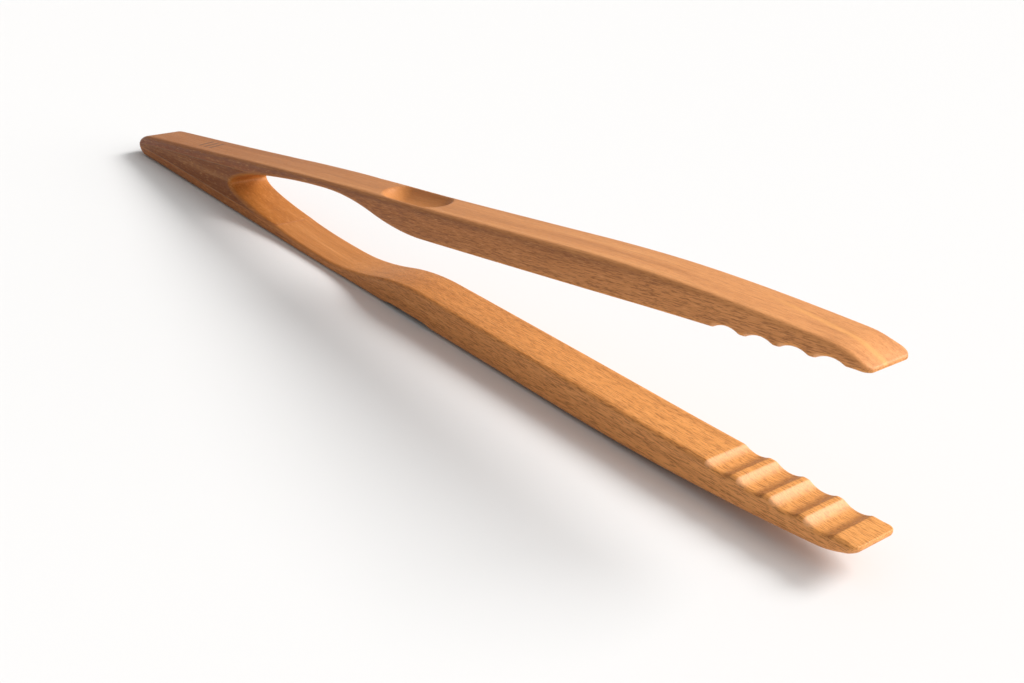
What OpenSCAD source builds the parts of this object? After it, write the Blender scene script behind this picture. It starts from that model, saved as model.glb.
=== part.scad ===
// Wooden spring tongs: two arms glued to a wedge, each with a thin neck that bends as the spring.
// They lie on the lower arm's flat outer face, with the butt towards -X and the tips towards +X.
// The origin is on that face's plane, below the middle of the tongs' length.

/* [Overall] */
// Length from the rounded butt to the lower tip
overall_length = 300; // [250:1:360]
// Width of every piece, across the tongs
width = 13.8; // [11:0.1:20]
// Angle between the outer faces of the two arms at rest
spread_angle = 9; // [7:0.1:11]

/* [Heel and wedge] */
// Thickness of an arm where it is glued to the wedge
heel_thickness = 3; // [2.4:0.1:4]
// Thickness of a glue line
glue_thickness = 0.15; // [0.1:0.01:0.3]
// Thickness of the wedge where it meets the rounded butt
wedge_tip = 0.9; // [0.6:0.1:2]
// Distance from the butt to the bottom of the crotch
crotch_at = 62.5; // [50:0.5:70]
// Distance from the start of an arm to the feathered end of the wedge's horn
horn_end = 85; // [80:0.5:95]

/* [Neck] */
// Thickness of the neck at its thinnest
neck_thickness = 2.45; // [2:0.05:2.9]
// Distance from the start of an arm to the first thinnest point of its neck
neck_start = 98; // [96:0.5:100]
// Distance from the start of an arm to the axis about which its neck bends
bend_at = 104; // [101:0.5:107]
// Distance from the start of an arm to the foot of its shoulder
shoulder_start = 111; // [108:0.5:116]
// Length of the shoulder, from the neck's thickness to the grip's
shoulder_length = 47; // [38:0.5:56]

/* [Grip] */
// Thickness of an arm along its grip
grip_thickness = 8.7; // [7:0.1:11]
// Radius of the round cutter that hollows a finger recess
recess_radius = 7.5; // [7:0.1:9]
// Travel of that cutter along the arm
recess_travel = 14.5; // [8:0.5:18]
// Distance from the start of an arm to the middle of its recess
recess_at = 148.5; // [145:0.5:160]
// Depth of the recess in the upper arm
upper_recess_depth = 3; // [2:0.1:3.6]
// Depth of the recess in the lower arm
lower_recess_depth = 3.6; // [2:0.1:3.8]
// How far the upper recess sits from the middle of its arm's width
upper_recess_shift = 0.3; // [-1:0.1:1]
// How far the lower recess sits from the middle of its arm's width
lower_recess_shift = -1.3; // [-2:0.1:2]

/* [Jaw] */
// Length over which the jaw's outer face curves in to the tip
jaw_taper = 84; // [60:1:90]
// Length of the steeper curve at the very tip
nose_length = 9.5; // [6:0.5:14]
// Thickness of the blunt tip
tip_thickness = 0.9; // [0.6:0.1:2]
// Number of grooves across each jaw
groove_count = 4; // [2:1:5]
// Distance from one groove to the next
groove_pitch = 8.65; // [8:0.05:11]
// Radius of the drum that cuts a groove
groove_radius = 7; // [5:0.1:8]
// Depth of a groove
groove_depth = 1; // [0.5:0.1:1.2]
// Flat land between the last groove and the tip
tip_land = 5.6; // [3:0.1:8]

/* [Hidden] */
$fn = 96;
half_angle = spread_angle / 2;
bond_depth = heel_thickness + glue_thickness;
butt_radius = bond_depth + wedge_tip / 2;
arm_length = overall_length - butt_radius;
nose_share = 0.28; // part of the jaw's taper that the nose makes
shoulder_break = 0.54; // where the shoulder turns from hollow to round, as a share of its length
curve_steps = 16; // straight pieces in each curved stretch of an outline
past = 1; // how far a cutting shape runs past what it cuts
wood_pale = [0.82, 0.58, 0.38];
wood_warm = [0.75, 0.5, 0.31];
wood_core = [0.66, 0.42, 0.25];
glue_pale = [0.86, 0.72, 0.52];

// Points at even steps along an arm, from one distance to another.
function steps(from, to) = [for (i = [0:curve_steps]) from + (to - from) * i / curve_steps];

// Depth of an arm's inner face below its outer face, from the horn's end to the grip.
function neck_dip(s) = (heel_thickness - neck_thickness) * pow((neck_start - s) / (neck_start - horn_end), 2);
function shoulder_share(u) =
    u < shoulder_break ? u * u / shoulder_break : 1 - (1 - u) * (1 - u) / (1 - shoulder_break);
function shoulder_rise(s) =
    (grip_thickness - neck_thickness) * shoulder_share((s - shoulder_start) / shoulder_length);

// How far the jaw's outer face has curved in at a distance along the arm.
function taper_share(s, reach) = pow(max(0, 1 - (arm_length - s) / reach), 2);
function jaw_rise(s) =
    (grip_thickness - tip_thickness)
    * ((1 - nose_share) * taper_share(s, jaw_taper) + nose_share * taper_share(s, nose_length));

// Half of the gap between the arms' glued faces, at a distance from the butt along the middle line.
function bond_half_gap(x) =
    (butt_radius + (x - butt_radius) * sin(half_angle) - bond_depth) / cos(half_angle);
// The horn's end, as a distance from the butt along the middle line.
horn_x = butt_radius + horn_end * cos(half_angle) - (butt_radius - bond_depth) * sin(half_angle);
horn_half_gap = bond_half_gap(horn_x);
function crotch_x(z) = crotch_at + (horn_x - crotch_at) * pow(z / horn_half_gap, 2);

// Stands a side-view outline up as a piece of the tongs' width, in the tongs' frame.
module slab() {
    translate([-(arm_length - butt_radius) / 2, 0, 0])
        rotate([90, 0, 0])
            linear_extrude(width, center = true)
                children();
}

// Turns a side view drawn along the middle line, from the butt, into the resting side view.
module along_middle() {
    translate([0, butt_radius])
        rotate(half_angle)
            translate([-butt_radius, 0])
                children();
}

// Swaps a lower arm's side view for the upper arm's.
module mirrored_up() {
    translate([0, butt_radius])
        mirror([-sin(half_angle), cos(half_angle)])
            translate([0, -butt_radius])
                children();
}

// The same swap for a solid in the tongs' frame.
module mirrored_up_solid() {
    translate([-(arm_length - butt_radius) / 2, 0, butt_radius])
        mirror([-sin(half_angle), 0, cos(half_angle)])
            translate([(arm_length - butt_radius) / 2, 0, -butt_radius])
                children();
}

// Everything inside the rounded end of the butt.
module butt_outline() {
    translate([0, butt_radius])
        circle(butt_radius);
    translate([0, -past])
        square([arm_length, arm_length]);
}

// Side view of the glued part of the lower arm, as far as the bend in its neck.
module heel_outline() {
    intersection() {
        polygon(concat(
            [[-butt_radius - past, 0], [bend_at, 0], [bend_at, neck_thickness], [neck_start, neck_thickness]],
            [for (s = steps(neck_start, horn_end)) [s, neck_thickness + neck_dip(s)]],
            [[-butt_radius - past, heel_thickness]]
        ));
        butt_outline();
    }
}

// Side view of the film of glue on the lower arm's heel.
module glue_outline() {
    intersection() {
        translate([-butt_radius - past, heel_thickness])
            square([butt_radius + past + horn_end, glue_thickness]);
        butt_outline();
    }
}

// Side view of the wedge: the gap between the glue lines, with the crotch cut out of its wide end.
module wedge_outline() {
    intersection() {
        along_middle()
            polygon(concat(
                [[0, -bond_half_gap(0)]],
                [for (z = steps(-horn_half_gap, horn_half_gap)) [crotch_x(z), z]],
                [[0, bond_half_gap(0)]]
            ));
        butt_outline();
    }
}

// Side view of the lower arm from the bend in its neck to its tip.
module arm_outline() {
    shoulder_end = shoulder_start + shoulder_length;
    difference() {
        polygon(concat(
            [[bend_at, 0]],
            [for (s = steps(arm_length - jaw_taper, arm_length - nose_length)) [s, jaw_rise(s)]],
            [for (s = steps(arm_length - nose_length, arm_length)) [s, jaw_rise(s)]],
            [[arm_length, grip_thickness]],
            [for (s = steps(shoulder_end, shoulder_start)) [s, neck_thickness + shoulder_rise(s)]],
            [[bend_at, neck_thickness]]
        ));
        jaw_grooves();
    }
}

// Side view of the drums that cut the grooves, counted from the tip.
module jaw_grooves() {
    half_groove = sqrt(2 * groove_radius * groove_depth - pow(groove_depth, 2));
    for (i = [0:groove_count - 1])
        translate([arm_length - tip_land - half_groove - i * groove_pitch,
                   grip_thickness - groove_depth + groove_radius])
            circle(groove_radius);
}

// The round-ended cutter that hollows the lower arm's outer face, in the tongs' frame.
module recess_cutter(depth, shift) {
    translate([recess_at - (arm_length - butt_radius) / 2, shift, depth - recess_radius]) {
        rotate([0, 90, 0])
            cylinder(h = recess_travel, r = recess_radius, center = true);
        for (side = [-1, 1])
            translate([side * recess_travel / 2, 0, 0])
                sphere(recess_radius);
    }
}

module wedge_block() {
    color(wood_core)
        slab()
            wedge_outline();
}

module upper_glue_line() {
    color(glue_pale)
        slab()
            mirrored_up()
                glue_outline();
}

module lower_glue_line() {
    color(glue_pale)
        slab()
            glue_outline();
}

module upper_heel() {
    color(wood_pale)
        slab()
            mirrored_up()
                heel_outline();
}

module lower_heel() {
    color(wood_warm)
        slab()
            heel_outline();
}

module upper_arm() {
    color(wood_pale)
        mirrored_up_solid()
            difference() {
                slab()
                    arm_outline();
                recess_cutter(upper_recess_depth, upper_recess_shift);
            }
}

module lower_arm() {
    color(wood_warm)
        difference() {
            slab()
                arm_outline();
            recess_cutter(lower_recess_depth, lower_recess_shift);
        }
}

wedge_block();
upper_glue_line();
lower_glue_line();
upper_heel();
lower_heel();
upper_arm();
lower_arm();
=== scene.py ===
import math
import bmesh
import bpy
import numpy as np
from mathutils import Matrix, Vector


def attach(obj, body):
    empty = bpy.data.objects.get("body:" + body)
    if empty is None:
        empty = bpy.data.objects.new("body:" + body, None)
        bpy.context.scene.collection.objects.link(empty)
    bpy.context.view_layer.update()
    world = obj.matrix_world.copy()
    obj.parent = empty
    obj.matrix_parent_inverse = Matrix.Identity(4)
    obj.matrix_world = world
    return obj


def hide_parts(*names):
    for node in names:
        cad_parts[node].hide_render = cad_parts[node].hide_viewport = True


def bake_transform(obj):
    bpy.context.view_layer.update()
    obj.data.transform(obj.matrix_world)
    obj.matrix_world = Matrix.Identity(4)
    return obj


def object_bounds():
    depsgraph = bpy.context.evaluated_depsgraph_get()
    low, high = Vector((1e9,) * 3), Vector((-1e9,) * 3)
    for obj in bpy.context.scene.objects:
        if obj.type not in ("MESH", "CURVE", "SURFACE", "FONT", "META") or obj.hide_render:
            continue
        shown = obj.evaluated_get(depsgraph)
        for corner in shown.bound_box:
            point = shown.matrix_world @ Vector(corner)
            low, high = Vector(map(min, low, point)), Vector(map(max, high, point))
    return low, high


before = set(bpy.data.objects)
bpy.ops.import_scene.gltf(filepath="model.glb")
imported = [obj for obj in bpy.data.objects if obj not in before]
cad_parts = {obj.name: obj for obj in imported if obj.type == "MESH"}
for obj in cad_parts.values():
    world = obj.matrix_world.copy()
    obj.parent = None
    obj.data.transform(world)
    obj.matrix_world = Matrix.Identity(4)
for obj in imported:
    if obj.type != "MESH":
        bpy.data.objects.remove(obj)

cadLow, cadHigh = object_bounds()
mm = 0.001

# Wooden tongs: two beech arms glued to a wedge. All sizes here are millimetres.
# Along an arm, s runs from the butt to the tip and t from the outer face inwards.

tongs = {
    "length": (cadHigh.x - cadLow.x) / mm,
    "halfWidth": (cadHigh.y - cadLow.y) / 2 / mm,
    "spread": 9.0,  # degrees between the two outer faces
    "heelThickness": 3.0,
    "glueThickness": 0.15,
    "wedgeTip": 0.9,
    "crotchAt": 62.2,  # from the butt to the deepest point of the opening
    "crotchPower": 1.7,  # 2 is a round opening, less is a tighter one
    "crotchNose": 0.9,
    "crotchBelow": 0.15,  # the deepest point sits a little under the middle line
    "buttReach": 30.0,  # the butt's end drops away over this length
    "buttLonger": 0.6,
    "buttLower": 0.3,
    "edgeRound": 1.3,
    "joinedRound": 1.2,  # where the wood is glued and sanded as one
    "sharpEdge": 0.05,
    "wearReach": 0.8,
    "columnsAcross": 24,
    "columnsRound": 6,
    "layersThrough": 6,
}
halfSpread = math.radians(tongs["spread"] / 2)
halfWidth = tongs["halfWidth"]
edgeRound = tongs["edgeRound"]
joinedRound = tongs["joinedRound"]
sharpEdge = tongs["sharpEdge"]
glueLevel = tongs["heelThickness"] + tongs["glueThickness"]
buttRadius = glueLevel + tongs["wedgeTip"] / 2
armLength = tongs["length"] - buttRadius
buttAt = cadLow.x / mm + buttRadius
# on the rounded end, the turn at which the heel meets the glue
firstTurn = math.asin((buttRadius - tongs["heelThickness"]) / buttRadius)


# from the maker's directions to the shared frame
def settled(x, z):
    # the butt's end is a little longer and lower than a straight outline
    share = np.maximum(0, 1 - (x + tongs["length"] / 2) / tongs["buttReach"]) ** 2
    return x - tongs["buttLonger"] * share, z - tongs["buttLower"] * share


def lowerPlace(s, t):
    return settled(s + buttAt, t)


def upperPlace(s, t):
    # the lower arm mirrored in the middle line through the butt's centre
    ds = s
    dt = t - buttRadius
    across = -math.sin(halfSpread) * ds + math.cos(halfSpread) * dt
    return settled(ds + 2 * across * math.sin(halfSpread) + buttAt,
                   dt - 2 * across * math.cos(halfSpread) + buttRadius)


def middlePlace(x, z):
    # x from the butt's end along the middle line, z square to it
    dx = x - buttRadius
    return settled(dx * math.cos(halfSpread) - z * math.sin(halfSpread) + buttAt,
                   dx * math.sin(halfSpread) + z * math.cos(halfSpread) + buttRadius)


# soft joins and rounded edges
def smoothMax(a, b, blend):
    h = np.clip(0.5 + 0.5 * (a - b) / blend, 0, 1)
    return b * (1 - h) + a * h + blend * h * (1 - h)


def smoothMin(a, b, blend):
    return -smoothMax(-a, -b, blend)


def easeStep(value, start, end):
    u = np.clip((value - start) / (end - start), 0, 1)
    return u * u * (3 - 2 * u)


def edgeDrop(y, half, radius):
    # how far a face falls away beside its rounded edge
    over = np.clip(np.abs(y) - (half - radius), 0, radius)
    return radius - np.sqrt(np.maximum(radius * radius - over * over, 0))


def acrossSteps(half):
    flat = half - edgeRound
    turn = np.sin(np.linspace(0, math.pi / 2, tongs["columnsRound"] + 1))[1:] * edgeRound
    middle = np.linspace(-flat, flat, tongs["columnsAcross"] + 1)
    return np.concatenate([-flat - turn[::-1], middle, flat + turn])


joinWithin = 0.002  # points nearer than this are one point


# a mesh from a block of points: only the block's six faces are built
def skinBlock(name, points, marks):
    ni, nj, nk = points.shape[:3]
    index = -np.ones((ni, nj, nk), int)
    shell = np.zeros((ni, nj, nk), bool)
    for axis in range(3):
        sides = [slice(None)] * 3
        for end in (0, -1):
            sides[axis] = end
            shell[tuple(sides)] = True
    index[shell] = np.arange(shell.sum())
    faces = []

    def addGrid(block, flip):
        a = block[:-1, :-1]
        b = block[1:, :-1]
        c = block[1:, 1:]
        d = block[:-1, 1:]
        order = (a, d, c, b) if flip else (a, b, c, d)
        faces.append(np.stack([part.ravel() for part in order], 1))

    addGrid(index[:, :, 0], True)
    addGrid(index[:, :, -1], False)
    addGrid(index[:, 0, :], False)
    addGrid(index[:, -1, :], True)
    addGrid(index[0], True)
    addGrid(index[-1], False)
    quads = np.concatenate(faces)
    place = points[shell] * mm
    marks = {key: value[shell] for key, value in marks.items()}

    # points that fall together are joined, so a feather edge closes cleanly
    keys = np.round(place / (joinWithin * mm)).astype(np.int64)
    first, back = np.unique(keys, axis=0, return_index=True, return_inverse=True)[1:]
    back = back.ravel()
    quads = back[quads]
    place = place[first]
    marks = {key: value[first] for key, value in marks.items()}
    clean = []
    seen = set()
    for quad in quads.tolist():
        ring = [v for n, v in enumerate(quad) if v != quad[n - 1]]
        if len(ring) < 3 or len(set(ring)) < len(ring):
            continue
        key = frozenset(ring)
        if key in seen:
            continue
        seen.add(key)
        clean.append(ring)

    mesh = bpy.data.meshes.new(name)
    mesh.from_pydata(place.tolist(), [], clean)
    mesh.validate()
    for key, value in marks.items():
        if value.ndim == 2:
            layer = mesh.attributes.new(key, "FLOAT_VECTOR", "POINT")
            layer.data.foreach_set("vector", value.astype(np.float32).ravel())
        else:
            layer = mesh.attributes.new(key, "FLOAT", "POINT")
            layer.data.foreach_set("value", value.astype(np.float32).ravel())
    mesh.polygons.foreach_set("use_smooth", [True] * len(mesh.polygons))
    piece = bpy.data.objects.new(name, mesh)
    bpy.context.scene.collection.objects.link(piece)
    return piece


def recalcOutside(piece):
    work = bmesh.new()
    work.from_mesh(piece.data)
    bmesh.ops.recalc_face_normals(work, faces=work.faces)
    work.to_mesh(piece.data)
    work.free()
    piece.data.update()


opening = {
    "reach": 11.0,  # its outline is worked out this far either side of the middle line
    "steps": 1201,
    "none": 99.0,  # the level given where there is no opening
}


# the opening between the horns is shared by the wedge, the glue and the arms
def bondHalfGap(x):
    # half the distance between the glued faces, square to the middle line
    rise = buttRadius + (x - buttRadius) * math.sin(halfSpread) - glueLevel
    return rise / math.cos(halfSpread)


def hornPoint(make):
    # where the wedge runs out to nothing against one arm
    ahead = make["hornEnd"] * math.cos(halfSpread)
    x = buttRadius + ahead - (buttRadius - glueLevel) * math.sin(halfSpread)
    return x, bondHalfGap(x)


def crotchLine(inset):
    # the opening's outline moved into the wood by inset: x and z along it
    z = np.linspace(-opening["reach"], opening["reach"], opening["steps"])
    upperX, upperZ = hornPoint(upper)
    lowerX, lowerZ = hornPoint(lower)
    hornX = np.where(z > 0, upperX, lowerX)
    hornZ = np.where(z > 0, upperZ, lowerZ)
    nose = tongs["crotchNose"]
    power = tongs["crotchPower"] / 2
    size = (hornZ ** 2 + nose ** 2) ** power - nose ** (2 * power)
    bend = (hornX - tongs["crotchAt"]) / size
    x = tongs["crotchAt"] + bend * ((z * z + nose ** 2) ** power - nose ** (2 * power))
    slope = 2 * power * bend * z * (z * z + nose ** 2) ** (power - 1)
    size = np.sqrt(1 + slope * slope)
    sink = tongs["crotchBelow"] * np.maximum(0, 1 - (z / hornZ) ** 2)
    return x - inset / size, z - sink + inset * slope / size


def openingLevel(s, make):
    # how high above the outer face the opening's surface is, over a point of the heel
    x, z = crotchLine(0)
    keep = (z + tongs["crotchBelow"]) * make["facing"] >= 0
    x = x[keep]
    z = -z[keep] * make["facing"]
    along = (x - buttRadius) * math.cos(halfSpread) - z * math.sin(halfSpread)
    level = (x - buttRadius) * math.sin(halfSpread) + z * math.cos(halfSpread) + buttRadius
    order = np.argsort(along)
    return np.interp(s, along[order], level[order], left=opening["none"])


arm = {
    "neckStart": 98.0,
    "shoulderStart": 111.0,
    "shoulderLength": 47.0,
    "shoulderBreak": 0.54,
    "gripThickness": 8.7,
    "jawTaper": 84.0,
    "noseLength": 9.5,
    "noseShare": 0.28,
    "tipThickness": 0.9,
    "tipCorner": 2.2,
    "grooveCount": 4,
    "groovePitch": 8.65,
    "grooveRadius": 7.0,
    "grooveDepth": 1.0,
    "tipLand": 5.6,
    "crestSoftness": 0.16,
    "recessRadius": 7.5,
    "recessTravel": 14.0,
    "recessSkew": -0.32,  # the cutter ran a little askew
    "rimSoftness": 0.25,
    "bowOut": 0.40,  # the sprung arms bow out a little behind the recess
    "bowIn": 0.20,  # and in a little before the jaw
    "bowTurns": 165.0,
    "waveMiddle": 75.0,
    "waveLength": 160.0,
    "glueFades": 2.5,  # the glue thins out over this length before the horn's end
    "innerEdgeFrom": 60.0,  # the inner edges are sharp up to here, under the glue
    "innerEdgeOver": 18.0,
    "innerBowPast": 1.0,  # the inner face bows from just past the horn
    "innerBowTo": 108.0,
    "stretchFrom": 215.0,
    "leanFrom": 235.0,
    "leanTo": 288.0,
    "thickenFrom": 240.0,
    "thickenTo": 275.0,
    "cutFrom": 250.0,  # the painted highlight and shade on the grooves' walls show from here
    "cutTo": 256.0,
    "cutSteepness": 0.42,
    "edgeShare": 0.42,  # an edge's rounding takes at most this share of the thickness
    "endRound": 0.32,
    "endSoftness": 0.62,
    "sidePower": 1.2,  # how late an edge's wood turns to the side's colour
    "buttSteps": 15,
    "tipTurn": 1.6,
    "tipSteps": 12,
}
upper = {
    "name": "upper_arm_wood",
    "body": "upper_arm",
    "nodes": ("upper_heel", "upper_arm"),
    "facing": 1,
    "buttLength": 8.5,  # the rounded end is half an oval, longer than it is high
    "hornEnd": 78.0,  # where the wedge runs out to nothing on this arm
    "neckThickness": 2.3,
    "jawThickening": 0.0,
    "jawDroop": 0.45,  # the jaw leans in a little
    "wave": 0.25,
    "recessAt": 148.2,
    "recessDepth": 3.0,
    "recessShift": 0.3,
    "jawStretch": -0.3,
}
lower = {
    "name": "lower_arm_wood",
    "body": "lower_arm",
    "nodes": ("lower_heel", "lower_arm"),
    "facing": -1,
    "buttLength": 4.4,
    "hornEnd": 85.0,
    "neckThickness": 2.45,
    "jawThickening": 0.35,
    "jawDroop": 0.0,
    "wave": 0.0,
    "recessAt": 150.2,
    "recessDepth": 3.6,
    "recessShift": -1.3,
    "jawStretch": 2.0,
}


def outerRise(s):
    # the outer face leaves its straight line towards the tip
    def share(reach):
        return np.maximum(0, 1 - (armLength - s) / reach) ** 2
    size = arm["gripThickness"] - arm["tipThickness"]
    nose = arm["noseShare"]
    return size * ((1 - nose) * share(arm["jawTaper"]) + nose * share(arm["noseLength"]))


def innerLine(s, make):
    u = np.clip((s - arm["shoulderStart"]) / arm["shoulderLength"], 0, 1)
    knee = arm["shoulderBreak"]
    rise = np.where(u < knee, u * u / knee, 1 - (1 - u) ** 2 / (1 - knee))
    neck = make["neckThickness"]
    line = neck + (arm["gripThickness"] - neck) * rise
    horn = make["hornEnd"]
    toGo = np.clip((arm["neckStart"] - s) / (arm["neckStart"] - horn), 0, 1)
    atHorn = tongs["heelThickness"] + tongs["glueThickness"] * easeStep(s, horn - arm["glueFades"], horn)
    line = line + (atHorn - neck) * toGo ** 2
    line = line + make["jawThickening"] * easeStep(s, arm["thickenFrom"], arm["thickenTo"])
    return cutGrooves(s, line, make)


def cutGrooves(s, line, make):
    radius = arm["grooveRadius"]
    halfChord = math.sqrt(2 * radius * arm["grooveDepth"] - arm["grooveDepth"] ** 2)
    for n in range(arm["grooveCount"]):
        centre = armLength - arm["tipLand"] - halfChord - n * arm["groovePitch"]
        reach = radius * radius - (s - centre) ** 2
        bottom = arm["gripThickness"] + make["jawThickening"] - arm["grooveDepth"]
        bottom = bottom + radius - np.sqrt(np.maximum(reach, 0))
        line = np.where(reach > 0, smoothMin(line, bottom, arm["crestSoftness"]), line)
    return line


def bowOf(s, make):
    # how far the arm stands out from its straight line
    first = arm["bowOut"] * np.sin(math.pi * np.clip(s / arm["bowTurns"], 0, 1))
    rest = np.clip((s - arm["bowTurns"]) / (armLength - arm["bowTurns"]), 0, 1)
    bow = first - arm["bowIn"] * np.sin(math.pi * rest)
    away = s - arm["waveMiddle"]
    inWave = np.abs(away) < arm["waveLength"] / 2
    wave = np.where(inWave, np.sin(2 * math.pi * away / arm["waveLength"]), 0)
    return bow + make["wave"] * wave - make["jawDroop"] * easeStep(s, arm["leanFrom"], arm["leanTo"])


def armStations(make):
    tip = armLength - arm["tipTurn"]
    spans = [
        (make["buttLength"] - buttRadius, 76.0, 1.0),
        (76.0, 90.0, 0.4),  # finer where the horns end
        (90.0, 133.0, 0.8),
        (133.0, 168.0, 0.38),  # the recess
        (168.0, 254.0, 1.0),
        (254.0, tip, 0.3),  # the grooves
    ]
    steps = [np.arange(start, end, step) for start, end, step in spans]
    end = np.sin(np.linspace(0, math.pi / 2, arm["tipSteps"]))
    steps.append(tip + arm["tipTurn"] * end)
    return np.concatenate(steps)


def buildArm(make, place):
    turn = np.linspace(firstTurn, math.pi / 2, arm["buttSteps"])[:-1]
    s = armStations(make)
    buttCentre = make["buttLength"] - buttRadius
    pathS = np.concatenate([buttCentre - make["buttLength"] * np.cos(turn), s])
    pathT = np.concatenate([buttRadius * (1 - np.sin(turn)), outerRise(s)])
    inS = np.concatenate([np.cos(turn), np.zeros(len(s))])
    inT = np.concatenate([np.sin(turn), np.ones(len(s))])
    straight = np.maximum(pathS, 0)
    inner = innerLine(straight, make)
    inner[:len(turn)] = tongs["heelThickness"]

    # the tip's corners are rounded in plan and its end is a little softened
    corner = arm["tipCorner"]
    over = np.clip(pathS - (armLength - corner), 0, corner)
    half = halfWidth - corner + np.sqrt(np.maximum(corner ** 2 - over ** 2, 0))
    endRound = arm["endRound"]
    over = np.clip(pathS - (armLength - endRound), 0, endRound) / endRound
    close = 0.5 * (1 - np.sqrt(np.maximum(1 - over ** 2, 0))) * arm["endSoftness"] * (inner - pathT)

    thick = inner - pathT
    outRound = np.minimum(edgeRound, arm["edgeShare"] * thick)
    outRound[:len(turn)] = edgeRound
    glued = np.clip((straight - arm["innerEdgeFrom"]) / arm["innerEdgeOver"], 0, 1)
    inRound = np.minimum(sharpEdge + (joinedRound - sharpEdge) * glued, arm["edgeShare"] * thick)
    openAt = openingLevel(straight, make)
    bow = bowOf(straight, make)
    bowInside = bow * easeStep(straight, make["hornEnd"] + arm["innerBowPast"], arm["innerBowTo"])
    stretch = make["jawStretch"] * easeStep(pathS, arm["stretchFrom"], armLength)

    unit = acrossSteps(halfWidth) / halfWidth
    layers = np.linspace(0, 1, tongs["layersThrough"] + 1)
    ni, nj, nk = len(pathS), len(layers), len(unit)
    points = np.zeros((ni, nj, nk, 3))
    grain = np.zeros((ni, nj, nk, 3))  # the place in the board, for the wood's pattern
    side = np.zeros((ni, nj, nk))  # 1 on the sides
    inside = np.zeros((ni, nj, nk))  # 1 on the face towards the other arm
    wear = np.zeros((ni, nj, nk))  # 1 on the handled edges
    cut = np.zeros((ni, nj, nk))  # the grooves' walls, positive towards the tip; it places the painted highlight and shade
    hollow = np.zeros((ni, nj, nk))  # 1 in the finger recess, where warmer light is painted
    steep = np.gradient(inner, pathS) * easeStep(pathS, arm["cutFrom"], arm["cutTo"])
    radius = arm["recessRadius"]
    for i in range(ni):
        y = unit * half[i]
        drop = edgeDrop(y, half[i], max(outRound[i], 1e-3))
        outS = pathS[i] + drop * inS[i]
        outT = pathT[i] + drop * inT[i] + close[i]
        dropIn = edgeDrop(y, half[i], max(inRound[i], 1e-3))
        topT = np.full(nk, inner[i]) - close[i]
        if pathS[i] >= buttCentre:
            if openAt[i] < opening["none"] and pathS[i] < make["hornEnd"]:
                topT = np.minimum(topT, openAt[i] - edgeDrop(y, half[i], joinedRound))
                topT = np.minimum(topT, inner[i] - edgeDrop(y, half[i], sharpEdge))
            else:
                topT = topT - dropIn
        else:
            topT = np.full(nk, inner[i])
            outT = np.minimum(outT, inner[i])
        # the finger recess
        away = (y - make["recessShift"]) ** 2
        fromMiddle = np.abs(pathS[i] - make["recessAt"] - arm["recessSkew"] * y)
        away = away + np.maximum(0, fromMiddle - arm["recessTravel"] / 2) ** 2
        reach = radius * radius - away
        dish = make["recessDepth"] - radius + np.sqrt(np.maximum(reach, 0))
        flatT = outT
        if pathS[i] > 0:
            outT = np.where(reach > 0, smoothMax(outT, dish, arm["rimSoftness"]), outT)
        hollow[i, 0] = np.clip(outT - flatT, 0, 1)
        for j, layer in enumerate(layers):
            t = outT + (topT - outT) * layer
            bowHere = bow[i] + (bowInside[i] - bow[i]) * layer
            x, z = place(outS + stretch[i], t - bowHere)
            points[i, j, :, 0] = x
            points[i, j, :, 1] = y
            points[i, j, :, 2] = z
            grain[i, j, :, 0] = outS
            grain[i, j, :, 1] = y
            grain[i, j, :, 2] = t
            fromSide = half[i] - np.abs(y)
            fromFace = np.minimum(t - outT, topT - t)
            wear[i, j] = np.exp(-np.maximum(fromSide, fromFace) / tongs["wearReach"])
            if j == 0:
                side[i, j] = np.clip(drop / edgeRound, 0, 1) ** arm["sidePower"]
            elif j == nj - 1:
                side[i, j] = np.clip(dropIn / edgeRound, 0, 1) ** arm["sidePower"]
                inside[i, j] = 1
                cut[i, j] = np.clip(-steep[i] / arm["cutSteepness"], -1, 1) * (1 - side[i, j])
            else:
                side[i, j] = 1
                inside[i, j] = layer
    marks = {"grain": grain, "side": side, "inside": inside, "wear": wear, "cut": cut, "hollow": hollow}
    piece = skinBlock(make["name"], points, marks)
    recalcOutside(piece)
    return piece


wedge = {
    "name": "wedge_block_wood",
    "stepsAlong": 60,
    "stepsAcross": 40,
    "crowding": 0.8,  # under 1 the steps lie closer together towards the opening
    "sidePower": 2.5,
}


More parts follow.
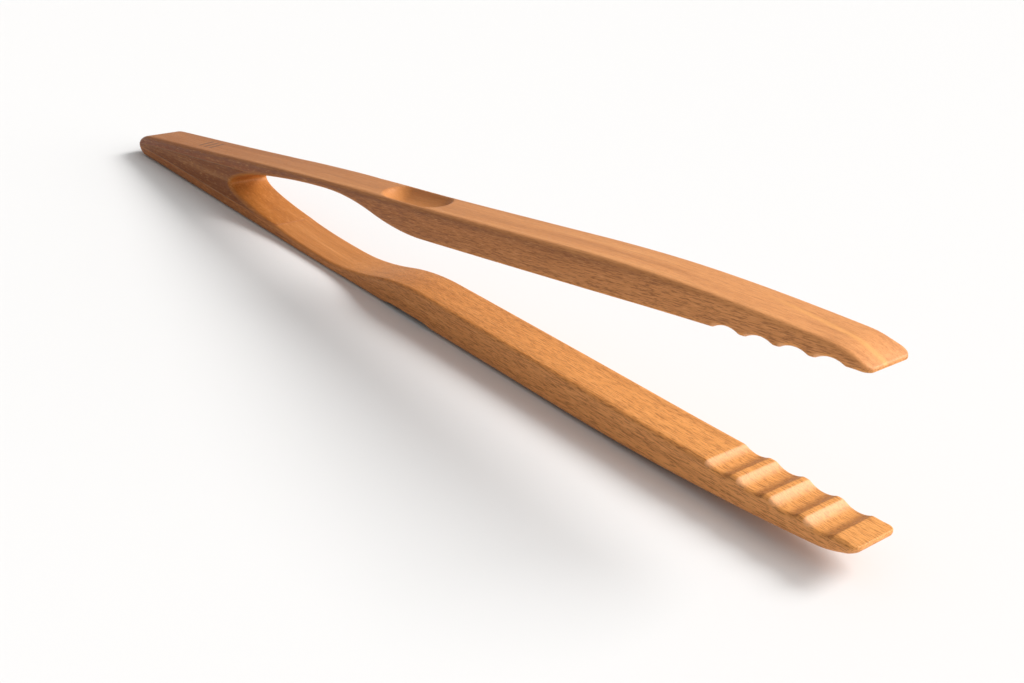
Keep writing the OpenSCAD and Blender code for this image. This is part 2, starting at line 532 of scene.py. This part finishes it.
def buildWedge():
    ray = np.sin(np.linspace(-math.pi / 2, math.pi / 2, wedge["stepsAcross"] + 1))
    along = np.linspace(0, 1, wedge["stepsAlong"] + 1) ** wedge["crowding"]
    across = acrossSteps(halfWidth)
    ni, nj, nk = len(along), len(ray), len(across)
    points = np.zeros((ni, nj, nk, 3))
    grain = np.zeros((ni, nj, nk, 3))
    side = np.zeros((ni, nj, nk))
    wear = np.zeros((ni, nj, nk))
    for k, y in enumerate(across):
        inset = float(edgeDrop(y, halfWidth, joinedRound))
        lineX, lineZ = crotchLine(inset)
        crotchX = np.interp(ray, lineZ / bondHalfGap(lineX), lineX)
        buttInset = float(edgeDrop(y, halfWidth, edgeRound))
        buttX = np.full(nj, buttInset)
        for _ in range(8):  # the rounded end's outline settles in a few rounds
            level = ray * bondHalfGap(buttX)
            oval = np.sqrt(1 - (level / (buttRadius - buttInset)) ** 2)
            reach = np.where(ray > 0, upper["buttLength"], lower["buttLength"])
            buttX = reach - (reach - buttInset) * oval
        for i, share in enumerate(along):
            x = buttX + share * (crotchX - buttX)
            z = ray * bondHalfGap(x)
            rowX, rowZ = middlePlace(x, z)
            points[i, :, k, 0] = rowX
            points[i, :, k, 1] = y
            points[i, :, k, 2] = rowZ
            grain[i, :, k, 0] = x
            grain[i, :, k, 1] = y
            grain[i, :, k, 2] = z
            inEdge = min(1.0, inset / joinedRound) ** wedge["sidePower"]
            side[i, :, k] = 1 if k in (0, nk - 1) else inEdge
            fromSide = abs(halfWidth - abs(y))
            wear[i, :, k] = np.exp(-(fromSide + crotchX - x) / tongs["wearReach"])
    marks = {"grain": grain, "side": side, "inside": np.ones((ni, nj, nk)), "wear": wear}
    piece = skinBlock(wedge["name"], points, marks)
    recalcOutside(piece)
    return piece


glue = {
    "pastHorn": 0.3,  # a little squeezes out past the horn
    "roundTo": 6.0,  # fine steps round the butt
    "roundSteps": 16,
    "step": 2.0,
    "fineEnd": 5.0,  # and where it thins out
    "fineSteps": 26,
    "leastRoom": 0.005,
}


def buildGlue(name, place, make):
    # the glue shows as a hairline; it thins out with the wedge's horn
    end = make["hornEnd"] + glue["pastHorn"]
    buttCentre = make["buttLength"] - buttRadius
    firstS = buttCentre - make["buttLength"] * math.cos(firstTurn)
    s = np.concatenate([
        np.linspace(firstS, glue["roundTo"], glue["roundSteps"])[:-1],
        np.arange(glue["roundTo"], end - glue["fineEnd"] - 1, glue["step"]),
        np.linspace(end - glue["fineEnd"], end, glue["fineSteps"]),
    ])
    openAt = openingLevel(np.maximum(s, 0), make)
    across = acrossSteps(halfWidth)
    ni, nk = len(s), len(across)
    points = np.zeros((ni, 2, nk, 3))
    grain = np.zeros((ni, 2, nk, 3))
    for i in range(ni):
        for j, level in enumerate((tongs["heelThickness"], glueLevel)):
            room = openAt[i] - (tongs["heelThickness"] + glue["leastRoom"])
            bite = np.clip(joinedRound - room, 0, joinedRound)
            half = halfWidth - joinedRound + math.sqrt(max(joinedRound ** 2 - bite ** 2, 0))
            y = across / halfWidth * half
            t = np.full(nk, level)
            if j == 1:
                surface = openAt[i] - edgeDrop(y, halfWidth, joinedRound)
                t = np.clip(np.minimum(t, surface), tongs["heelThickness"], None)
            # at the butt the film follows the rounded end in plan
            drop = edgeDrop(y, halfWidth, edgeRound)
            oval = np.sqrt(np.maximum(1 - ((buttRadius - t) / (buttRadius - drop)) ** 2, 0))
            lowest = buttCentre - (make["buttLength"] - drop) * oval
            along = np.maximum(s[i], lowest)
            if i == 0:
                along = lowest
            x, z = place(along, t)
            points[i, j, :, 0] = x
            points[i, j, :, 1] = y
            points[i, j, :, 2] = z
            grain[i, j, :, 0] = along
            grain[i, j, :, 1] = y
            grain[i, j, :, 2] = t
    piece = skinBlock(name, points, {"grain": grain})
    recalcOutside(piece)
    return piece


def colour(text):
    # a hex colour as linear red, green, blue
    parts = [int(text[n:n + 2], 16) / 255 for n in (1, 3, 5)]
    linear = [part / 12.92 if part <= 0.04045 else ((part + 0.055) / 1.055) ** 2.4 for part in parts]
    return linear + [1.0]


class Nodes:
    # a short hand for wiring one material

    def __init__(self, name):
        self.material = bpy.data.materials.new(name)
        self.material.use_nodes = True
        self.tree = self.material.node_tree
        self.tree.nodes.clear()

    def add(self, kind, **settings):
        node = self.tree.nodes.new(kind)
        for key, value in settings.items():
            setattr(node, key, value)
        return node

    def plug(self, source, target):
        self.tree.links.new(source, target)

    def feed(self, socket, value):
        if isinstance(value, bpy.types.NodeSocket):
            self.plug(value, socket)
        else:
            socket.default_value = value

    def attribute(self, name, output="Fac"):
        return self.add("ShaderNodeAttribute", attribute_name=name).outputs[output]

    def math(self, operation, a, b=0.0, clamp=False):
        node = self.add("ShaderNodeMath", operation=operation, use_clamp=clamp)
        self.feed(node.inputs[0], a)
        self.feed(node.inputs[1], b)
        return node.outputs[0]

    def scaled(self, vector, scale, shift=(0, 0, 0)):
        node = self.add("ShaderNodeMapping", vector_type="POINT")
        self.plug(vector, node.inputs["Vector"])
        node.inputs["Scale"].default_value = scale
        node.inputs["Location"].default_value = shift
        return node.outputs[0]

    def noise(self, vector, detail=3.0, roughness=0.55, distortion=0.0):
        node = self.add("ShaderNodeTexNoise", noise_dimensions="3D")
        self.plug(vector, node.inputs["Vector"])
        node.inputs["Scale"].default_value = 1.0
        node.inputs["Detail"].default_value = detail
        node.inputs["Roughness"].default_value = roughness
        node.inputs["Distortion"].default_value = distortion
        return node.outputs["Fac"]

    def ranged(self, value, low, high, to0=0.0, to1=1.0):
        node = self.add("ShaderNodeMapRange", interpolation_type="SMOOTHSTEP")
        self.feed(node.inputs["Value"], value)
        node.inputs["From Min"].default_value = low
        node.inputs["From Max"].default_value = high
        node.inputs["To Min"].default_value = to0
        node.inputs["To Max"].default_value = to1
        return node.outputs["Result"]

    def blend(self, share, a, b):
        node = self.add("ShaderNodeMix", data_type="FLOAT")
        self.feed(node.inputs[0], share)
        self.feed(node.inputs[2], a)
        self.feed(node.inputs[3], b)
        return node.outputs[0]

    def mix(self, share, a, b):
        node = self.add("ShaderNodeMix", data_type="RGBA")
        self.feed(node.inputs[0], share)
        self.feed(node.inputs[6], a)
        self.feed(node.inputs[7], b)
        return node.outputs[2]


beech = {
    "bandScale": (0.007, 0.30, 0.34),  # along, across and through the grain
    "streakScale": (0.05, 2.1, 2.1),
    "fleckScale": (0.42, 4.4, 4.4),
    "poreScale": (0.7, 7.0, 7.0),
    "bumpStrength": 0.22,
    "bumpDepth": 0.0002,
    "gloss": 0.27,
    "wornShine": 0.08,
}
upperLook = {
    # painted light: each Butt colour is darker than its Tip colour, for the light that comes from the
    # tip's side
    "outerButt": "#a06333",
    "outerTip": "#d89258",
    # painted shade: the side colours are darker than the faces, for the shade on the sides turned from
    # the light
    "sideButt": "#884107",
    "sideTip": "#d38c50",
    "innerButt": "#ad6d37",
    "innerTip": "#e19a52",
    "dark": "#7a4216",
    "fleck": "#6e3a12",
    "pale": "#f2b272",
    "bandAmount": 0.30,
    "streakAmount": 0.32,
    "outerFlecks": 0.16,
    "sideFlecks": 0.52,
    "innerFlecks": 0.50,
    "calmInside": 150.0,  # flecks show inside the arm only from here to the tip
    "edgeShadeBand": 0.52,
    "slopeHighlight": 0.34,
    "slopeHighlightColour": "#ffcba4",
    "slopeShade": 0.45,
    "recessLightColour": "#bd7a3b",
    "recessLightShare": 0.5,
    "roughness": 0.50,
    "offset": (3.0, 17.0, 5.0),  # each piece is cut from another place in the board
    "paleCurve": True,
    "mark": True,
}
lowerLook = dict(upperLook)
lowerLook.update({
    # painted bounce light: the lower arm's sides are painted lighter, for the light thrown up by the
    # floor
    "sideButt": "#a25c1f",
    "sideTip": "#ea9f5c",
    "edgeShadeBand": 0.0,
    "offset": (41.0, 8.0, 29.0),
    "paleCurve": False,
    "mark": False,
})
wedgeLook = dict(lowerLook)
wedgeLook.update({
    # painted shade: the wedge's sides are painted dark
    "sideButt": "#844408",
    "sideTip": "#844408",
    # painted light: the inner faces are a lighter orange, for the light in the crotch hollow
    "innerButt": "#b37031",
    "innerTip": "#cc8340",
    "edgeShadeBand": 0.0,
    "offset": (77.0, 51.0, 13.0),
})
paleRing = {
    "fromTip": 12.0,
    "sweep": 7.5,  # how far it leans along the arm for each millimetre across
    "halfWide": 9.0,
    "shows": (260.0, 276.0),
    "amount": 0.42,
    "colour": "#f6b064",
}
burn = {
    "at": 36.0,  # from the butt
    "strokes": 3,
    "pitch": 3.4,
    "halfWide": 0.55,
    "halfLong": 3.2,
    "slant": 0.35,
    "amount": 0.85,
    "colour": "#5a3c26",
}


def burnedMark(n, along, across):
    # three plain slanted strokes, scorched into the outer face
    slanted = n.math("ADD", along, n.math("MULTIPLY", across, burn["slant"]))
    ends = n.ranged(n.math("ABSOLUTE", across), burn["halfLong"] + 0.4, burn["halfLong"] - 0.4)
    mask = None
    for stroke in range(burn["strokes"]):
        middle = burn["at"] + (stroke - (burn["strokes"] - 1) / 2) * burn["pitch"]
        away = n.math("ABSOLUTE", n.math("SUBTRACT", slanted, middle))
        bar = n.ranged(away, burn["halfWide"] + 0.35, burn["halfWide"] - 0.35)
        mask = bar if mask is None else n.math("MAXIMUM", mask, bar)
    return n.math("MULTIPLY", n.math("MULTIPLY", mask, ends), burn["amount"])


def makeWood(name, look):
    # beech: long fine streaks, slow bands, and the short dark flecks of its rays, with painted light and
    # shade laid over them
    n = Nodes(name)
    grain = n.attribute("grain", "Vector")
    side = n.attribute("side")
    inside = n.attribute("inside")
    wear = n.attribute("wear")
    parts = n.add("ShaderNodeSeparateXYZ")
    n.plug(grain, parts.inputs[0])
    along = n.ranged(parts.outputs[0], 0.0, armLength)
    shift = look["offset"]

    # painted light: every face's colour runs from darker at the butt to brighter at the tip, for the
    # light that falls from the tip's side
    outer = n.mix(along, colour(look["outerButt"]), colour(look["outerTip"]))
    flank = n.mix(along, colour(look["sideButt"]), colour(look["sideTip"]))
    inner = n.mix(along, colour(look["innerButt"]), colour(look["innerTip"]))
    base = n.mix(inside, outer, inner)
    # painted light and shade: the sides take their own colours, painted dark for shade on the upper arm
    # and the wedge and lighter on the lower arm for the floor's bounce light
    base = n.mix(side, base, flank)
    # painted shade: the side is darker along its outer edge, where less of the floor's bounce light
    # reaches
    edgeShadeBand = n.math("MULTIPLY", n.ranged(parts.outputs[2], 2.7, 0.9, 0.0, look["edgeShadeBand"]), side)
    base = n.mix(edgeShadeBand, base, colour(look["dark"]))

    # slow bands of denser and looser growth
    bands = n.noise(n.scaled(grain, beech["bandScale"], shift), detail=4.0, distortion=0.5)
    base = n.mix(n.ranged(bands, 0.45, 0.75, 0.0, look["bandAmount"]), base, colour(look["dark"]))
    base = n.mix(n.ranged(bands, 0.45, 0.25, 0.0, look["bandAmount"] * 0.6), base, colour(look["pale"]))

    # long fine streaks
    streaks = n.noise(n.scaled(grain, beech["streakScale"], shift), detail=5.0, roughness=0.7)
    base = n.mix(n.ranged(streaks, 0.48, 0.72, 0.0, look["streakAmount"]), base, colour(look["dark"]))
    paleShare = n.ranged(streaks, 0.48, 0.28, 0.0, look["streakAmount"])
    paleShare = n.math("MULTIPLY", paleShare, n.blend(side, 1.0, 0.45))
    base = n.mix(paleShare, base, colour(look["pale"]))

    # short dark flecks lying along the grain
    raysAt = n.scaled(grain, beech["fleckScale"], shift)
    rays = n.noise(raysAt, detail=2.0, roughness=0.6, distortion=0.2)
    fleckMask = n.ranged(rays, 0.49, 0.64)
    grown = n.ranged(parts.outputs[0], look["calmInside"] - 45.0, look["calmInside"] + 15.0, 0.12, 1.0)
    insideFlecks = n.math("MULTIPLY", grown, look["innerFlecks"])
    strength = n.blend(inside, look["outerFlecks"], insideFlecks)
    strength = n.blend(side, strength, look["sideFlecks"])
    fleckShare = n.math("MULTIPLY", fleckMask, strength)
    base = n.mix(fleckShare, base, colour(look["fleck"]))
    # painted glints: pale spots from the same ray pattern stand in for the rays' shine
    glint = n.math("MULTIPLY", n.ranged(rays, 0.42, 0.30, 0.0, 0.55), strength)
    base = n.mix(glint, base, colour(look["pale"]))

    # painted highlight on the grooves' walls that face the tip, and painted shade on the walls that face
    # the butt
    cut = n.attribute("cut")
    base = n.mix(n.ranged(cut, 0.1, 0.95, 0.0, look["slopeHighlight"]), base, colour(look["slopeHighlightColour"]))
    base = n.mix(n.ranged(cut, -0.1, -0.9, 0.0, look["slopeShade"]), base, colour(look["dark"]))

    # painted light: the finger recess is painted a warmer orange, standing in for the warm light that
    # falls into it
    hollow = n.math("MULTIPLY", n.attribute("hollow"), look["recessLightShare"])
    base = n.mix(hollow, base, colour(look["recessLightColour"]))

    # a pale curve of young wood near the tip
    if look["paleCurve"]:
        sweep = n.math("MULTIPLY", parts.outputs[1], paleRing["sweep"])
        curve = n.math("ADD", parts.outputs[0], sweep)
        away = n.math("ABSOLUTE", n.math("SUBTRACT", curve, armLength - paleRing["fromTip"]))
        ring = n.ranged(away, paleRing["halfWide"], 1.0, 0.0, paleRing["amount"])
        ring = n.math("MULTIPLY", ring, n.math("SUBTRACT", 1.0, side))
        ring = n.math("MULTIPLY", ring, n.ranged(parts.outputs[0], *paleRing["shows"]))
        base = n.mix(ring, base, colour(paleRing["colour"]))
    if look["mark"]:
        outside = n.math("SUBTRACT", 1.0, n.math("MAXIMUM", side, inside), True)
        scorch = n.math("MULTIPLY", burnedMark(n, parts.outputs[0], parts.outputs[1]), outside)
        base = n.mix(scorch, base, colour(burn["colour"]))

    # fine pores for the bump and the gloss
    pores = n.noise(n.scaled(grain, beech["poreScale"], shift), detail=3.0, roughness=0.6)
    height = n.math("SUBTRACT", n.math("MULTIPLY", pores, 0.5), n.math("MULTIPLY", fleckMask, 0.6))
    height = n.math("ADD", height, n.math("MULTIPLY", streaks, 0.5))
    bump = n.add("ShaderNodeBump")
    bump.inputs["Strength"].default_value = beech["bumpStrength"]
    bump.inputs["Distance"].default_value = beech["bumpDepth"]
    n.plug(height, bump.inputs["Height"])
    rough = n.ranged(pores, 0.3, 0.7, look["roughness"] - 0.06, look["roughness"] + 0.08)
    rough = n.math("SUBTRACT", rough, n.math("MULTIPLY", wear, beech["wornShine"]))

    shader = n.add("ShaderNodeBsdfPrincipled")
    n.plug(base, shader.inputs["Base Color"])
    n.plug(rough, shader.inputs["Roughness"])
    n.plug(bump.outputs[0], shader.inputs["Normal"])
    shader.inputs["Specular IOR Level"].default_value = beech["gloss"]
    output = n.add("ShaderNodeOutputMaterial")
    n.plug(shader.outputs[0], output.inputs[0])
    return n.material


glueLook = {
    "film": "#94694a",
    "dark": "#7c5434",
    "atHorn": "#aa6835",
    "hornFrom": (60.0, 66.0),  # the film takes the horn's colour from here
    "blotchScale": (0.15, 0.6, 0.6),
    "fineScale": (1.2, 3.0, 3.0),
    "roughness": 0.52,
    "bumpStrength": 0.12,
    "bumpDepth": 0.0001,
}


def makeGlueFinish(name, look):
    # dried wood glue: a thin tan line, slightly glassier than the wood
    n = Nodes(name)
    grain = n.attribute("grain", "Vector")
    blotches = n.noise(n.scaled(grain, look["blotchScale"]), detail=3.0)
    base = n.mix(n.ranged(blotches, 0.3, 0.7), colour(look["film"]), colour(look["dark"]))
    parts = n.add("ShaderNodeSeparateXYZ")
    n.plug(grain, parts.inputs[0])
    horn = n.ranged(parts.outputs[0], *look["hornFrom"])
    base = n.mix(horn, base, colour(look["atHorn"]))
    fine = n.noise(n.scaled(grain, look["fineScale"]), detail=2.0)
    bump = n.add("ShaderNodeBump")
    bump.inputs["Strength"].default_value = look["bumpStrength"]
    bump.inputs["Distance"].default_value = look["bumpDepth"]
    n.plug(fine, bump.inputs["Height"])
    shader = n.add("ShaderNodeBsdfPrincipled")
    n.plug(base, shader.inputs["Base Color"])
    rough = n.ranged(fine, 0.3, 0.7, look["roughness"] - 0.05, look["roughness"] + 0.1)
    n.plug(rough, shader.inputs["Roughness"])
    n.plug(bump.outputs[0], shader.inputs["Normal"])
    output = n.add("ShaderNodeOutputMaterial")
    n.plug(shader.outputs[0], output.inputs[0])
    return n.material


shot = {
    "place": (268.15, -203.9, 152.07),
    "azimuth": 48.035,  # degrees, from looking along +Y
    "elevation": 25.662,
    "roll": -4.625,
    "lens": 47.461,
}
studio = {
    "floorSize": 9000.0,
    "floorBelow": 0.42,  # clears the bowed arm
    "floor": "#dcdbda",
    "surround": 0.44,
    "keyStrength": 2.45,
    "keyFrom": (0.72, 0.42, 0.50),
    "keyAngle": 60.0,
    "backStrength": 2.8,
    "backFrom": (0.30, 0.72, 0.62),
    "backAngle": 26.0,
}


def makeCamera():
    data = bpy.data.cameras.new("camera")
    data.lens = shot["lens"]
    data.sensor_width = 36.0
    data.clip_start = 0.01
    data.clip_end = 50.0
    camera = bpy.data.objects.new("camera", data)
    bpy.context.scene.collection.objects.link(camera)
    azimuth = math.radians(shot["azimuth"])
    elevation = math.radians(shot["elevation"])
    roll = math.radians(shot["roll"])
    back = Vector((math.sin(azimuth) * math.cos(elevation),
                   -math.cos(azimuth) * math.cos(elevation), math.sin(elevation)))
    right = (-back).cross(Vector((0, 0, 1))).normalized()
    up = right.cross(-back)
    tiltedUp = up * math.cos(roll) + right * math.sin(roll)
    tiltedRight = right * math.cos(roll) - up * math.sin(roll)
    turn = Matrix((tiltedRight, tiltedUp, back)).transposed()
    camera.matrix_world = Matrix.Translation(Vector(shot["place"]) * mm) @ turn.to_4x4()
    bpy.context.scene.camera = camera


def makeFloor():
    size = studio["floorSize"] * mm / 2
    mesh = bpy.data.meshes.new("floor")
    corners = [(-size, -size), (size, -size), (size, size), (-size, size)]
    level = cadLow.z - studio["floorBelow"] * mm
    mesh.from_pydata([(x, y, level) for x, y in corners], [], [(0, 1, 2, 3)])
    floor = bpy.data.objects.new("floor", mesh)
    bpy.context.scene.collection.objects.link(floor)
    n = Nodes("paleFloor")
    shader = n.add("ShaderNodeBsdfPrincipled")
    shader.inputs["Base Color"].default_value = colour(studio["floor"])
    shader.inputs["Roughness"].default_value = 0.9
    shader.inputs["Specular IOR Level"].default_value = 0.1
    output = n.add("ShaderNodeOutputMaterial")
    n.plug(shader.outputs[0], output.inputs[0])
    mesh.materials.append(n.material)


def makeLight(name, strength, source, angle):
    data = bpy.data.lights.new(name, "SUN")
    data.energy = strength
    data.angle = math.radians(angle)
    light = bpy.data.objects.new(name, data)
    light.rotation_euler = Vector(source).to_track_quat("Z", "Y").to_euler()
    bpy.context.scene.collection.objects.link(light)


def makeStudio():
    makeFloor()
    makeLight("key", studio["keyStrength"], studio["keyFrom"], studio["keyAngle"])
    makeLight("backSoftbox", studio["backStrength"], studio["backFrom"], studio["backAngle"])
    world = bpy.data.worlds.new("surround")
    world.use_nodes = True
    background = world.node_tree.nodes["Background"]
    background.inputs["Color"].default_value = (1, 1, 1, 1)
    background.inputs["Strength"].default_value = studio["surround"]
    bpy.context.scene.world = world
    bpy.context.scene.view_settings.view_transform = "Standard"


# putting the tongs together
makeCamera()
makeStudio()
print("camera, floor and lights are ready")

neckBlend = {
    "start": 88.0,  # along the arm; finishArm works out places from these but nothing uses them
    "end": 124.0,
    "level": 2.45,  # above the outer face
}


def finishArm(make, place, look):
    piece = buildArm(make, place)
    piece.data.materials.append(makeWood(make["name"] + "_beech", look))
    startX, startZ = place(neckBlend["start"], neckBlend["level"])
    endX, endZ = place(neckBlend["end"], neckBlend["level"])
    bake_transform(piece)
    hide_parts(*make["nodes"])
    print("made", make["name"], len(piece.data.vertices), "points")
    return piece


upperArm = finishArm(upper, upperPlace, upperLook)
lowerArm = finishArm(lower, lowerPlace, lowerLook)

wedgeBlock = buildWedge()
wedgeBlock.data.materials.append(makeWood("wedge_beech", wedgeLook))
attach(wedgeBlock, "butt")
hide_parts("wedge_block")
print("made the wedge")

glueFinish = makeGlueFinish("dried_glue", glueLook)
for glueName, gluePlace, glueNode, glued in (("upper_glue_film", upperPlace, "upper_glue_line", upper),
                                             ("lower_glue_film", lowerPlace, "lower_glue_line", lower)):
    film = buildGlue(glueName, gluePlace, glued)
    film.data.materials.append(glueFinish)
    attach(film, "butt")
    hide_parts(glueNode)
print("made the glue lines")
